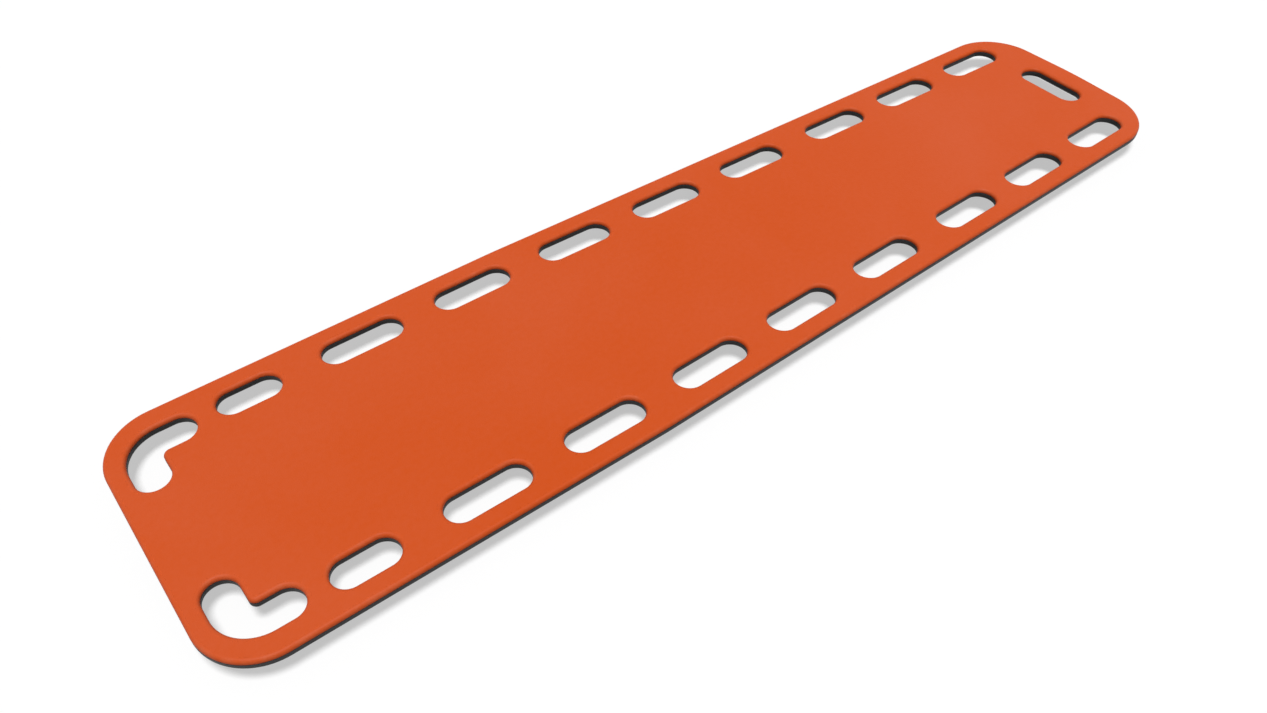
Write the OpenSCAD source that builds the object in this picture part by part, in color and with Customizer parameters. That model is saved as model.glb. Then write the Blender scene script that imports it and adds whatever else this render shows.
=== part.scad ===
// Spine board: a long flat rescue board with hand holds all round its rim.
// Two moulded plastic sheets, orange above and dark grey below, meet at a seam round the rim and
// round every hold, over a foam core with four stiffening rods. The underside has a shallow hull
// with two runners to slide on.
// Millimetres. X runs from the head end to the foot end, Y is across, and the runners rest on Z = 0.

/* [Board] */
// Length from the head end to the foot end
board_l = 1840; // [1760:5:1920]
// Width of the parallel part, from the head end on
head_w = 457; // [430:1:480]
// Width that the tapering sides reach at the foot end
foot_w = 397; // [370:1:420]
// Length of the parallel part, from the head end
straight_l = 645; // [580:5:700]
// Corner radius at the head end
head_r = 87; // [76:1:96]
// Corner radius at the foot end
foot_r = 98; // [80:1:106]
// How far the foot end bows out past its corners
foot_bow = 8; // [2:1:14]
// Height of the deck above the floor
board_h = 45; // [42:1:55]

/* [Rim] */
// Thickness of the rim and of the strips between the holds
rim_t = 18; // [17:0.5:22]
// Radius of the rolled edges of the rim and of the holds
roll_r = 5.5; // [4:0.5:6]
// Height of the upright wall between the upper sheet's rolled edge and the seam's groove
seam_land = 0.7; // [0.5:0.1:2.5]
// Depth of the groove along the seam
seam_groove = 0.8; // [0.4:0.1:1.2]

/* [Sheets] */
// Thickness of both sheets on their flat faces
skin_t = 3.5; // [2.5:0.1:4.5]
// Thickness of the walls round the rim and round each hold
wall_t = 5; // [3.5:0.1:6]

/* [Side holds] */
// Number of holds along each side
hold_count = 9; // [8:1:9]
// Width of a hold
hold_w = 47; // [42:1:54]
// Length of a hold
hold_l = 129; // [110:1:140]
// Length of the hold nearest the head, which is shorter
first_hold_l = 95; // [80:1:110]
// Distance from the side to the middle line of the holds
hold_in = 54.5; // [48:0.5:60]
// Distance from the head end to the middle of the first hold
first_hold_x = 212; // [205:1:225]
// Distance from the foot end to the middle of the last hold
last_hold_x = 131; // [124:1:138]

/* [Foot hold] */
// Length of the hold across the foot end
foot_hold_l = 125; // [100:1:144]
// Width of the hold across the foot end
foot_hold_w = 47; // [40:1:54]
// Distance from the foot end to its middle line
foot_hold_in = 68; // [60:1:74]

/* [Corner holds] */
// Width of the bent hold in each head corner
bent_w = 48; // [40:1:52]
// Length of each of its two legs, measured outside
bent_l = 106; // [98:1:114]
// Distance from the head end to its outer wall
bent_end_in = 27; // [22:1:32]
// Distance from the side to its outer wall
bent_side_in = 35; // [28:1:38]
// Radius left on top of the notch where its legs meet
notch_r = 5; // [2:0.5:6]

/* [Underside] */
// Depth of the runners below the hull
runner_h = 9; // [6:0.5:12]
// Width of a runner
runner_w = 44; // [34:1:50]
// Distance from the middle of the board to the middle of a runner
runner_y = 68; // [62:1:72]
// Length of the rise at each end of a runner
runner_rise_l = 90; // [60:5:130]
// Distance from the hull's ends to the runners
runner_end_in = 45; // [35:1:60]
// Slope of the walls of the hull and the runners, in degrees from upright
wall_draft = 24; // [10:1:30]
// Radius along the bottom edges of the hull and the runners
hull_roll = 4; // [3.6:0.1:4.5]
// Corner radius of the hull, seen from below
hull_r = 48; // [36:1:60]
// Space between the rolled edges of the holds and the hull
hull_gap = 7.5; // [4:0.5:9]

/* [Inside] */
// Diameter of a stiffening rod
rod_d = 12; // [8:0.5:14]
// Distance from the middle of the board to the two inner rods
rod_inner_y = 28; // [20:1:34]
// Distance from the middle of the board to the two outer rods
rod_outer_y = 76; // [60:1:84]
// Distance from the hull's ends to the ends of the rods
rod_end_in = 34; // [20:1:60]
// Clearance round a rod in the foam
rod_clear = 0.2; // [0.1:0.05:0.4]

/* [Plugs] */
// Diameter of the stem of a fill plug
fill_stem_d = 22; // [16:1:28]
// Diameter of the stem of a vent plug
vent_stem_d = 7; // [5:0.5:9]
// Width of a plug's flange past its stem
plug_flange = 5; // [3:0.5:7]
// Thickness of a plug's flange
plug_t = 2; // [1:0.1:3]
// Length of a plug's stem past the sheet
plug_deep = 3; // [1:0.5:5]
// Clearance round a plug's stem
plug_clear = 0.15; // [0.05:0.05:0.3]
// Distance from the hull's ends to the fill plugs
fill_end_in = 260; // [200:5:320]
// Distance from the hull's ends to the vent plugs
vent_end_in = 26; // [22:1:30]
// Distance from the middle of the board to the vent plugs
vent_y = 60; // [40:1:70]

/* [Hidden] */
$fn = 24;

// Segments of a rolled edge
roll_n = 4;
// Segments of a full turn round the board's corners
rim_fn = 64;
// Radius that blends the parallel sides into the tapering ones
side_blend_r = 600;
// How far one solid reaches into the next where they are joined
lap = 1;
// Thickness of the plates that carry a hull's rings
thin = 0.01;

head_x = -board_l / 2;
foot_x = board_l / 2;
bend_x = head_x + straight_l;
rim_z = board_h - rim_t;
core_in = roll_r + lap;
seam_z = board_h - roll_r - seam_land - seam_groove;
hull_z = runner_h;

// Slope of the tapering sides
taper = atan2((head_w - foot_w) / 2, board_l - straight_l);
// Slope of the two halves of the foot end
bow = atan2(foot_bow, foot_w / 2);
// Radius of the crown of the foot end
bow_r = 900;

// Half of the board's width at a distance along it
function half_w(x) = head_w / 2 - max(0, x - bend_x) * tan(taper);

// A path is a list of corners, each [x, y, radius], going round anticlockwise.
function pt(c) = [c[0], c[1]];
function left(v) = [-v.y, v.x];
function after(c, i) = (i + 1) % len(c);
function before(c, i) = (i + len(c) - 1) % len(c);
function dir(c, i) = let (d = pt(c[after(c, i)]) - pt(c[i])) d / norm(d);
function turn(c, i) = let (a = dir(c, before(c, i)), b = dir(c, i)) atan2(a.x * b.y - a.y * b.x, a * b);
function reach(c, i) = c[i][2] * tan(abs(turn(c, i)) / 2);
function heading(v) = atan2(v.y, v.x);

// The same path moved in by d, or out where d is negative
function inset(c, d) = [for (i = [0 : len(c) - 1])
    let (m = left(dir(c, before(c, i))), n = left(dir(c, i)), q = pt(c[i]) + d * (m + n) / (1 + m * n))
    [q.x, q.y, c[i][2] - d * sign(turn(c, i))]];

// Points along a path with its corners rounded
function rounded(c) = [for (i = [0 : len(c) - 1])
    let (a = turn(c, i), e = dir(c, before(c, i)), s = sign(a), r = c[i][2])
    let (m = pt(c[i]) - e * reach(c, i) + left(e) * r * s, n = max(2, 2 * round($fn * abs(a) / 720)))
    for (k = [0 : n]) let (h = heading(e) - 90 * s + a * k / n) m + r * [cos(h), sin(h)]];

// Outline of the board
crown_x = foot_x + bow_r * (1 / cos(bow) - 1);
corner_x = crown_x - foot_w / 2 * tan(bow);
board_path = [
    [head_x, -head_w / 2, head_r],
    [bend_x, -head_w / 2, side_blend_r],
    [corner_x, -half_w(corner_x), foot_r],
    [crown_x, 0, bow_r],
    [corner_x, half_w(corner_x), foot_r],
    [bend_x, head_w / 2, side_blend_r],
    [head_x, head_w / 2, head_r]];

// Outline of a straight hold about its own middle
function slot_path(l, w) = let (x = l / 2, y = w / 2)
    [[-x, -y, y], [x, -y, y], [x, y, y], [-x, y, y]];

// Outline of the bent hold about its outer corner, for the left side of the head end
bent_notch = roll_r + notch_r;
bent_path = let (n = bent_notch, w = bent_w, l = bent_l)
    [[0, 0, w + n], [0, -l, w / 2], [w, -l, w / 2], [w, -w, n], [l, -w, w / 2], [l, 0, w / 2]];

// Middles of the side holds, evenly spaced and then shifted a little, head to foot
hold_shift = [0, -10, -8, -4, -5, -3, 10, 5, 0];
hold_pitch = (board_l - first_hold_x - last_hold_x) / (hold_count - 1);
function hold_x(i) = head_x + first_hold_x + i * hold_pitch + hold_shift[i];
function hold_len(i) = i == 0 ? first_hold_l : hold_l;
function hold_slope(x) = x > bend_x ? taper : 0;

// Outline of the hull, which keeps clear of every hold
hull_in = hold_in + hold_w / 2 + roll_r + hull_gap;
hull_x0 = head_x + bent_end_in + bent_l + roll_r + hull_gap;
hull_x1 = foot_x - foot_hold_in - foot_hold_w / 2 - roll_r - hull_gap;
hull_path = [
    [hull_x0, hull_in - head_w / 2, hull_r],
    [bend_x, hull_in - head_w / 2, side_blend_r],
    [hull_x1, hull_in - half_w(hull_x1), hull_r],
    [hull_x1, half_w(hull_x1) - hull_in, hull_r],
    [bend_x, head_w / 2 - hull_in, side_blend_r],
    [hull_x0, head_w / 2 - hull_in, hull_r]];

// Ends of the runners, where their rises meet the hull
runner_x0 = hull_x0 + runner_end_in;
runner_x1 = hull_x1 - runner_end_in;

// Height of the rods, halfway between the two sheets
rod_z = (board_h + hull_z) / 2;

// A plate between two heights with the outline of a path
module plate(c, z0, z1) {
    translate([0, 0, z0])
        linear_extrude(z1 - z0)
            polygon(rounded(c));
}

// A thin plate whose outer face is at a height, on its upper side or its lower side
module ring(c, z, up) {
    plate(c, min(z, z - up * thin), max(z, z - up * thin));
}

// A quarter round from a wall into a face, which lies up where up is 1 and down where it is -1
function roll(z, up) = [for (k = [0 : roll_n])
    let (a = 90 * k / roll_n)
    [roll_r * (1 - cos(a)), z - up * roll_r * (1 - sin(a))]];

// The last chord of a quarter round carried on past the face, so that a cut runs clean out of it
function run_out(p) = concat(p, [p[len(p) - 1] * 1.3 - p[len(p) - 2] * 0.3]);
function back(p) = [for (i = [len(p) - 1 : -1 : 0]) p[i]];

// The rolled edge of half of the rim: the upper half from the seam up, or the lower half down.
// The outline is convex, so its rings at every height of the roll wrap into one solid, less the core.
module rim_edge(z, up, z0, z1) {
    $fn = rim_fn;
    low = min(seam_z + up * seam_groove, z - up * roll_r);
    high = max(seam_z + up * seam_groove, z - up * roll_r);
    difference() {
        hull() {
            ring(inset(board_path, seam_groove), seam_z, -up);
            plate(board_path, low, high);
            for (q = roll(z, up))
                if (q.x > 0)
                    ring(inset(board_path, q.x), q.y, up);
        }
        plate(inset(board_path, core_in), rim_z - lap, board_h + lap);
        plate(inset(board_path, wall_t), z0, z1);
    }
}

// The flat core of half of the rim, inside its rolled edge
module rim_core(z) {
    $fn = rim_fn;
    plate(inset(board_path, core_in), min(z, seam_z), max(z, seam_z));
}

// Cross-section of the cut that opens a hold through half of the rim, right of its middle line:
// out past the seam with its groove, along the wall and over the rolled edge
function cut_side(w, z, up) = concat(
    [[w / 2 + seam_groove + lap, seam_z - up * lap], [w / 2, seam_z + up * seam_groove]],
    [for (q = run_out(roll(z, up))) [w / 2 + q.x, q.y]]);

// A straight run of that cut along X
module cut_run(l, w, z, up) {
    side = cut_side(w, z, up);
    rotate([90, 0, 90])
        linear_extrude(l)
            polygon(concat(side, [for (q = back(side)) [-q.x, q.y]]));
}

// A bend of that cut through a quarter turn, with a radius along its inner wall
module cut_bend(r, w, z, up) {
    side = cut_side(w, z, up);
    rotate_extrude(angle = 90)
        polygon([for (q = concat(side, [for (q = back(side)) [-q.x, q.y]])) [r + w / 2 + q.x, q.y]]);
}

// The round end of that cut, towards +X
module cut_end(w, z, up) {
    side = cut_side(w, z, up);
    rotate([0, 0, -90])
        rotate_extrude(angle = 180)
            polygon(concat([[0, side[0].y]], side, [[0, side[len(side) - 1].y]]));
}

// The cut for a straight hold about its own middle
module slot_cut(l, w, z, up) {
    translate([-(l - w) / 2, 0, 0]) {
        cut_run(l - w, w, z, up);
        rotate([0, 0, 180])
            cut_end(w, z, up);
    }
    translate([(l - w) / 2, 0, 0])
        cut_end(w, z, up);
}

// The cut for the bent hold about its outer corner, for the left side of the head end
module bent_cut(z, up) {
    n = bent_notch;
    leg = bent_l - bent_w * 1.5 - n;
    translate([bent_w + n, -bent_w - n, 0]) {
        rotate([0, 0, 90])
            cut_bend(n, bent_w, z, up);
        translate([0, bent_w / 2 + n, 0]) {
            cut_run(leg, bent_w, z, up);
            translate([leg, 0, 0])
                cut_end(bent_w, z, up);
        }
        translate([-bent_w / 2 - n, 0, 0])
            rotate([0, 0, -90]) {
                cut_run(leg, bent_w, z, up);
                translate([leg, 0, 0])
                    cut_end(bent_w, z, up);
            }
    }
}

// Places its child, drawn for the left side, on both sides
module both_sides() {
    children();
    mirror([0, 1, 0])
        children();
}

// Places of the side holds on the left side
module at_hold(i) {
    x = hold_x(i);
    translate([x, half_w(x) - hold_in / cos(hold_slope(x)), 0])
        rotate([0, 0, -hold_slope(x)])
            children();
}

module at_bent() {
    translate([head_x + bent_end_in, head_w / 2 - bent_side_in, 0])
        children();
}

module at_foot_hold() {
    translate([foot_x - foot_hold_in, 0, 0])
        rotate([0, 0, 90])
            children();
}

// Every hold opened through half of the rim
module hold_cuts(z, up) {
    both_sides() {
        for (i = [0 : hold_count - 1])
            at_hold(i)
                slot_cut(hold_len(i), hold_w, z, up);
        at_bent()
            bent_cut(z, up);
    }
    at_foot_hold()
        slot_cut(foot_hold_l, foot_hold_w, z, up);
}

// Plan of the hollow inside the rim, with the wall round each hold left standing
module hollow_plan() {
    difference() {
        polygon(rounded(inset(board_path, wall_t)));
        both_sides() {
            for (i = [0 : hold_count - 1])
                at_hold(i)
                    polygon(rounded(inset(slot_path(hold_len(i), hold_w), -wall_t)));
            at_bent()
                polygon(rounded(inset(bent_path, -wall_t)));
        }
        at_foot_hold()
            polygon(rounded(inset(slot_path(foot_hold_l, foot_hold_w), -wall_t)));
    }
}

module hollow(z0, z1) {
    translate([0, 0, z0])
        linear_extrude(z1 - z0)
            hollow_plan();
}

// A sloping wall from z1 down to z0, rolled into the bottom: each point is [distance in, height]
function wall_points(z0, z1, r) =
    let (u = r * cos(wall_draft) + (z1 - z0 - r + r * sin(wall_draft)) * tan(wall_draft))
    concat([[0, z1]], [for (k = [0 : roll_n])
        let (a = 180 + wall_draft + (90 - wall_draft) * k / roll_n)
        [u + r * cos(a), z0 + r + r * sin(a)]]);

// The shallow hull under the board: its outside where d is 0, the hollow in it where d is a sheet
module hull_block(d) {
    $fn = rim_fn / 2;
    p = inset(hull_path, d / cos(wall_draft));
    hull() {
        plate(p, rim_z, rim_z + d + lap);
        for (q = wall_points(hull_z + d, rim_z, hull_roll - d))
            if (q.x > 0)
                ring(inset(p, q.x), q.y, -1);
    }
}

// A runner on the left side: its end view run along the board, cut to its side view with a rise at
// each end
module runner(d) {
    slope = atan2(runner_h, runner_rise_l);
    top = hull_z + d + lap;
    in = (d / cos(slope) - d) / tan(slope);
    out = (d + lap - d / cos(slope)) / tan(slope);
    half = runner_w / 2 - d / cos(wall_draft);
    side = [for (q = wall_points(d, hull_z, hull_roll - d)) [half - q.x, q.y]];
    edge = concat([[side[0].x, top]], side);
    intersection() {
        translate([runner_x0 - board_h, runner_y, 0])
            rotate([90, 0, 90])
                linear_extrude(runner_x1 - runner_x0 + 2 * board_h)
                    polygon(concat(edge, [for (q = back(edge)) [-q.x, q.y]]));
        translate([0, runner_y + runner_w, 0])
            rotate([90, 0, 0])
                linear_extrude(2 * runner_w)
                    polygon([[runner_x0 - out, top], [runner_x0 + runner_rise_l + in, d],
                        [runner_x1 - runner_rise_l - in, d], [runner_x1 + out, top]]);
    }
}

// Hull and runners together: their outside, or the hollow inside them
module underbody(d) {
    hull_block(d);
    both_sides()
        runner(d);
}

// Places of the plugs
module at_fill(end) {
    translate([end > 0 ? hull_x1 - fill_end_in : hull_x0 + fill_end_in, 0, hull_z])
        children();
}

module at_vent(end, side) {
    translate([end > 0 ? hull_x1 - vent_end_in : hull_x0 + vent_end_in, side * vent_y, hull_z])
        children();
}

// Hole for a plug's stem through the sheet and into the foam
module plug_hole(stem_d) {
    translate([0, 0, -lap])
        cylinder(h = lap + skin_t + plug_deep + plug_clear, d = stem_d + 2 * plug_clear);
}

module plug_holes() {
    for (end = [-1, 1]) {
        at_fill(end)
            plug_hole(fill_stem_d);
        for (side = [-1, 1])
            at_vent(end, side)
                plug_hole(vent_stem_d);
    }
}

// A plug: a flange with a bevelled edge under the sheet and a stem through it
module plug(stem_d) {
    flange_d = stem_d + 2 * plug_flange;
    cylinder(h = skin_t + plug_deep, d = stem_d);
    translate([0, 0, -plug_t / 2])
        cylinder(h = plug_t / 2, d = flange_d);
    translate([0, 0, -plug_t])
        cylinder(h = plug_t / 2, d1 = flange_d - plug_t * 2, d2 = flange_d);
}

module at_rod(y) {
    translate([hull_x0 + rod_end_in, y, rod_z])
        rotate([0, 90, 0])
            children();
}

rod_l = hull_x1 - hull_x0 - 2 * rod_end_in;

module rod(y) {
    color("#3a3d40")
        at_rod(y)
            cylinder(h = rod_l, d = rod_d);
}

// Upper sheet: the flat deck, its rolled rim and the upper half of each hold's wall
module deck_skin() {
    color("#d65b2f") {
        rim_edge(board_h, 1, seam_z - lap, board_h - skin_t);
        difference() {
            rim_core(board_h);
            hollow(seam_z - lap, board_h - skin_t);
            hold_cuts(board_h, 1);
        }
    }
}

// Lower sheet: the underside of the rim, the lower half of each hold's wall, the hull and its runners
module base_skin() {
    color("#55575a") {
        rim_edge(rim_z, -1, rim_z + skin_t, seam_z + lap);
        difference() {
            union() {
                rim_core(rim_z);
                underbody(0);
            }
            hollow(rim_z + skin_t, seam_z + lap);
            underbody(skin_t);
            hold_cuts(rim_z, -1);
            plug_holes();
        }
    }
}

// Foam that fills the hollow between the two sheets
module foam_core() {
    color("#e8dfc4")
        difference() {
            union() {
                hollow(rim_z + skin_t, board_h - skin_t);
                underbody(skin_t);
            }
            for (y = [-rod_outer_y, -rod_inner_y, rod_inner_y, rod_outer_y])
                at_rod(y)
                    translate([0, 0, -rod_clear])
                        cylinder(h = rod_l + 2 * rod_clear, d = rod_d + 2 * rod_clear);
            plug_holes();
        }
}

module rod_left_outer() {
    rod(rod_outer_y);
}

module rod_left_inner() {
    rod(rod_inner_y);
}

module rod_right_inner() {
    rod(-rod_inner_y);
}

module rod_right_outer() {
    rod(-rod_outer_y);
}

module fill_plug_head() {
    color("#3f4143")
        at_fill(-1)
            plug(fill_stem_d);
}

module fill_plug_foot() {
    color("#3f4143")
        at_fill(1)
            plug(fill_stem_d);
}

module vent_plug_head_left() {
    color("#3f4143")
        at_vent(-1, 1)
            plug(vent_stem_d);
}

module vent_plug_head_right() {
    color("#3f4143")
        at_vent(-1, -1)
            plug(vent_stem_d);
}

module vent_plug_foot_left() {
    color("#3f4143")
        at_vent(1, 1)
            plug(vent_stem_d);
}

module vent_plug_foot_right() {
    color("#3f4143")
        at_vent(1, -1)
            plug(vent_stem_d);
}

deck_skin();
base_skin();
foam_core();
rod_left_outer();
rod_left_inner();
rod_right_inner();
rod_right_outer();
fill_plug_head();
fill_plug_foot();
vent_plug_head_left();
vent_plug_head_right();
vent_plug_foot_left();
vent_plug_foot_right();
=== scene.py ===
"""Looks of the spine board: moulded sheets, plugs, inner parts and the studio around them.

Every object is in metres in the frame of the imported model: X runs from the head end to the foot end,
Y is across, and the runners rest on Z = 0.
"""
import math

import bmesh
import bpy
from bpy.props import FloatProperty, FloatVectorProperty, IntProperty, PointerProperty
from mathutils import Matrix, Vector


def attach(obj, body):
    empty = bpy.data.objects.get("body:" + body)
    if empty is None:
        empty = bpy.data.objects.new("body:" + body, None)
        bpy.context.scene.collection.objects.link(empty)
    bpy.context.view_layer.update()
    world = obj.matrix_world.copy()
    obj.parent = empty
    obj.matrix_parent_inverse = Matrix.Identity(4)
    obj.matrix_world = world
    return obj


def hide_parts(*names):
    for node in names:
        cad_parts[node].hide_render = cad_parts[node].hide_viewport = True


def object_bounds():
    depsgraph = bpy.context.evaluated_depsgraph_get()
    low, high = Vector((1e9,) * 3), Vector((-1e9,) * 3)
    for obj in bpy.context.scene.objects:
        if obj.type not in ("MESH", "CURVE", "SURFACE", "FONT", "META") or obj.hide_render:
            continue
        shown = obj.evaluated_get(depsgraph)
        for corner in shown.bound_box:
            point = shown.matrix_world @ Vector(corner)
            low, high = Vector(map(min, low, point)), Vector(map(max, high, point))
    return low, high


bl_info = {
    "name": "Spine Board Looks",
    "version": (1, 0, 0),
    "blender": (4, 5, 0),
    "location": "View3D > Sidebar > Spine Board",
    "description": "Moulded sheets, plugs, finishes and a studio for the spine board",
    "category": "Object",
}

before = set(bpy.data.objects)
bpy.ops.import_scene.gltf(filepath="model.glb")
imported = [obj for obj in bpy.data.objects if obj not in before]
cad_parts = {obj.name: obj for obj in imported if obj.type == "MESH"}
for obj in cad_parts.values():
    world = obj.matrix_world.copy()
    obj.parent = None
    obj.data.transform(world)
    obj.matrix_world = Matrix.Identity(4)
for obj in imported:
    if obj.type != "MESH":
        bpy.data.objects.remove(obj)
CAD_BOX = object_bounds()
BODY = "root"

# Steps in a full turn of a path's arcs, and the fewest steps in any arc
PATH_STEPS, FEWEST_STEPS = 96, 4
# Points closer than this become one
MERGE_GAP = 0.00001
# Edges that fold by more than this stay crisp
CRISP_ANGLE = math.radians(35)
# Flat strip beyond a rolled edge, which keeps the shading of the flat face even
FLAT_MARGIN = 0.001
# A point counts as lying at a height within this distance of it
LEVEL_GAP = 0.00005
# How far each hold along a side stands from an even spacing, from the head to the foot
HOLD_SHIFTS = (0.0, -0.010, -0.008, -0.004, -0.005, -0.003, 0.010, 0.005, 0.0)
# Points round a plug's hole, round a plug, and across the rounding of its flange
HOLE_POINTS, PLUG_POINTS, ROUND_POINTS = 48, 64, 6
# Depth of the dish in a fill plug and in a vent plug
FILL_DISH, VENT_DISH = 0.0007, 0.0004
# Width of the ring round a plug's dish, as a share of its stem's radius, and rounding of its flange, as a share of
# its thickness
PLUG_RING, FLANGE_ROUND = 0.72, 0.7
# Points along a runner, and how softly its rise starts
RUNNER_STEPS, RISE_BLEND = 180, 0.002

# How far the key lamp hangs, and the width of the camera's sensor in millimetres
LAMP_DISTANCE, SENSOR_WIDTH = 4.0, 36.0

# Kinds of tree and of node socket
SHAPES, SHADERS = "GeometryNodeTree", "ShaderNodeTree"
GEOMETRY, OBJECT, MATERIAL = "NodeSocketGeometry", "NodeSocketObject", "NodeSocketMaterial"
VECTOR, COLOUR, NUMBER = "NodeSocketVector", "NodeSocketColor", "NodeSocketFloat"
# Inputs that both sheets share, with their defaults
EDGE_SOCKETS = {"Face Height": 0.045, "Seam Height": 0.038, "Roll Radius": 0.0055, "Seam Groove": 0.0008,
                "Sheet": 0.0035, "Wall": 0.005, "Roll Points": 9}
# Inputs of the hull and the runners, with their defaults
UNDER_SOCKETS = {"Hull Height": 0.009, "Slope": 0.42, "Edge Roll": 0.004, "Runner Start": -0.73, "Runner End": 0.78,
                 "Runner Place": 0.068, "Runner Half Width": 0.022, "Runner Rise": 0.09, "Rise Blend": RISE_BLEND,
                 "Runner Steps": RUNNER_STEPS}


def length(label, text, value, low=0.0, high=3.0):
    """A length in metres with its name, description and default."""
    return FloatProperty(name=label, description=text, default=value, min=low, max=high, subtype="DISTANCE",
                         unit="LENGTH", precision=4)


def angle(label, text, degrees):
    """An angle with its name, description and default in degrees."""
    return FloatProperty(name=label, description=text, default=math.radians(degrees), subtype="ANGLE")


def share(label, text, value, high=1.0):
    """A plain factor."""
    return FloatProperty(name=label, description=text, default=value, min=0.0, max=high, subtype="FACTOR")


def colour(label, text, value):
    """A linear colour."""
    return FloatVectorProperty(name=label, description=text, default=value, size=4, min=0.0, max=1.0,
                               subtype="COLOR")


def number(label, text, value, low, high):
    """A whole number."""
    return IntProperty(name=label, description=text, default=value, min=low, max=high)


class SpineBoardOutline(bpy.types.PropertyGroup):
    """Outline of the board and heights of its faces."""
    board_length: length("Length", "From the head end to the foot end", CAD_BOX[1][0] - CAD_BOX[0][0])
    head_width: length("Head width", "Width of the parallel part", CAD_BOX[1][1] - CAD_BOX[0][1])
    foot_width: length("Foot width", "Width that the tapering sides reach at the foot end", 0.397)
    straight_length: length("Parallel length", "Length of the parallel part", 0.645)
    head_radius: length("Head corners", "Corner radius at the head end", 0.087)
    foot_radius: length("Foot corners", "Corner radius at the foot end", 0.098)
    foot_bow: length("Foot bow", "How far the foot end bows out", 0.008)
    crown_radius: length("Foot crown", "Radius of the crown of the foot end", 0.9)
    side_radius: length("Side blend", "Radius between the parallel and the tapering sides", 0.6)
    deck_height: length("Deck height", "Height of the deck above the floor", CAD_BOX[1][2])
    rim_thickness: length("Rim thickness", "Thickness of the rim and of the strips between holds", 0.018)
    roll_radius: length("Edge roll", "Radius of the rolled edges of the rim and the holds", 0.0055)
    seam_land: length("Seam land", "Upright wall between the upper rolled edge and the seam's groove", 0.0007)
    seam_groove: length("Seam groove", "Depth of the groove along the seam", 0.0008)
    sheet: length("Sheet thickness", "Thickness of both sheets on their flat faces", 0.0035)
    wall: length("Wall thickness", "Thickness of the walls round the rim and the holds", 0.005)
    roll_points: number("Roll points", "Points across a rolled edge", 9, low=4, high=24)


class SpineBoardHolds(bpy.types.PropertyGroup):
    """Hand holds along the sides, across the foot end and in the head corners."""
    count: number("Holds per side", "Number of holds along each side", len(HOLD_SHIFTS), low=2, high=len(HOLD_SHIFTS))
    width: length("Width", "Width of a side hold", 0.047)
    hold_length: length("Length", "Length of a side hold", 0.129)
    first_length: length("First length", "Length of the hold nearest the head", 0.095)
    edge_distance: length("Edge distance", "From the side to the middle line of the holds", 0.0545)
    first_place: length("First place", "From the head end to the middle of the first hold", 0.212)
    last_place: length("Last place", "From the foot end to the middle of the last hold", 0.131)
    foot_length: length("Foot hold length", "Length of the hold across the foot end", 0.125)
    foot_hold_width: length("Foot hold width", "Width of the hold across the foot end", 0.047)
    foot_distance: length("Foot hold distance", "From the foot end to its middle line", 0.068)
    bent_width: length("Corner hold width", "Width of the bent hold in each head corner", 0.048)
    bent_length: length("Corner hold legs", "Length of its two legs, measured outside", 0.106)
    bent_end: length("Corner hold to end", "From the head end to its outer wall", 0.027)
    bent_side: length("Corner hold to side", "From the side to its outer wall", 0.035)
    notch_radius: length("Notch", "Radius left on top of the notch where the legs meet", 0.005)


class SpineBoardUnderside(bpy.types.PropertyGroup):
    """Hull, runners and plugs under the board."""
    runner_depth: length("Runner depth", "Depth of the runners below the hull", 0.009)
    runner_width: length("Runner width", "Width of a runner", 0.044)
    runner_place: length("Runner place", "From the middle of the board to the middle of a runner", 0.068)
    runner_rise: length("Runner rise", "Length of the rise at each end of a runner", 0.090)
    runner_end: length("Runner ends", "From the ends of the hull to the runners", 0.045)
    draft: angle("Wall slope", "Slope of the walls from upright", 24)
    edge_roll: length("Bottom roll", "Radius along the bottom edges of the hull and the runners", 0.004)
    hull_radius: length("Hull corners", "Corner radius of the hull", 0.048)
    hull_gap: length("Hull gap", "Space between the rolled edges of the holds and the hull", 0.0075)
    fill_radius: length("Fill plug", "Radius of the stem of a fill plug", 0.011)
    vent_radius: length("Vent plug", "Radius of the stem of a vent plug", 0.0035)
    flange: length("Plug flange", "Width of a plug's flange past its stem", 0.005)
    flange_depth: length("Flange depth", "Thickness of a plug's flange", 0.002)
    stem_reach: length("Plug stem", "Length of a plug's stem above the sheet", 0.003)
    plug_clear: length("Plug clearance", "Clearance round a plug's stem", 0.00015)
    fill_end: length("Fill plug place", "From the ends of the hull to the fill plugs", 0.260)
    vent_end: length("Vent plug place", "From the ends of the hull to the vent plugs", 0.026)
    vent_side: length("Vent plug side", "From the middle of the board to the vent plugs", 0.060)


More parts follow.
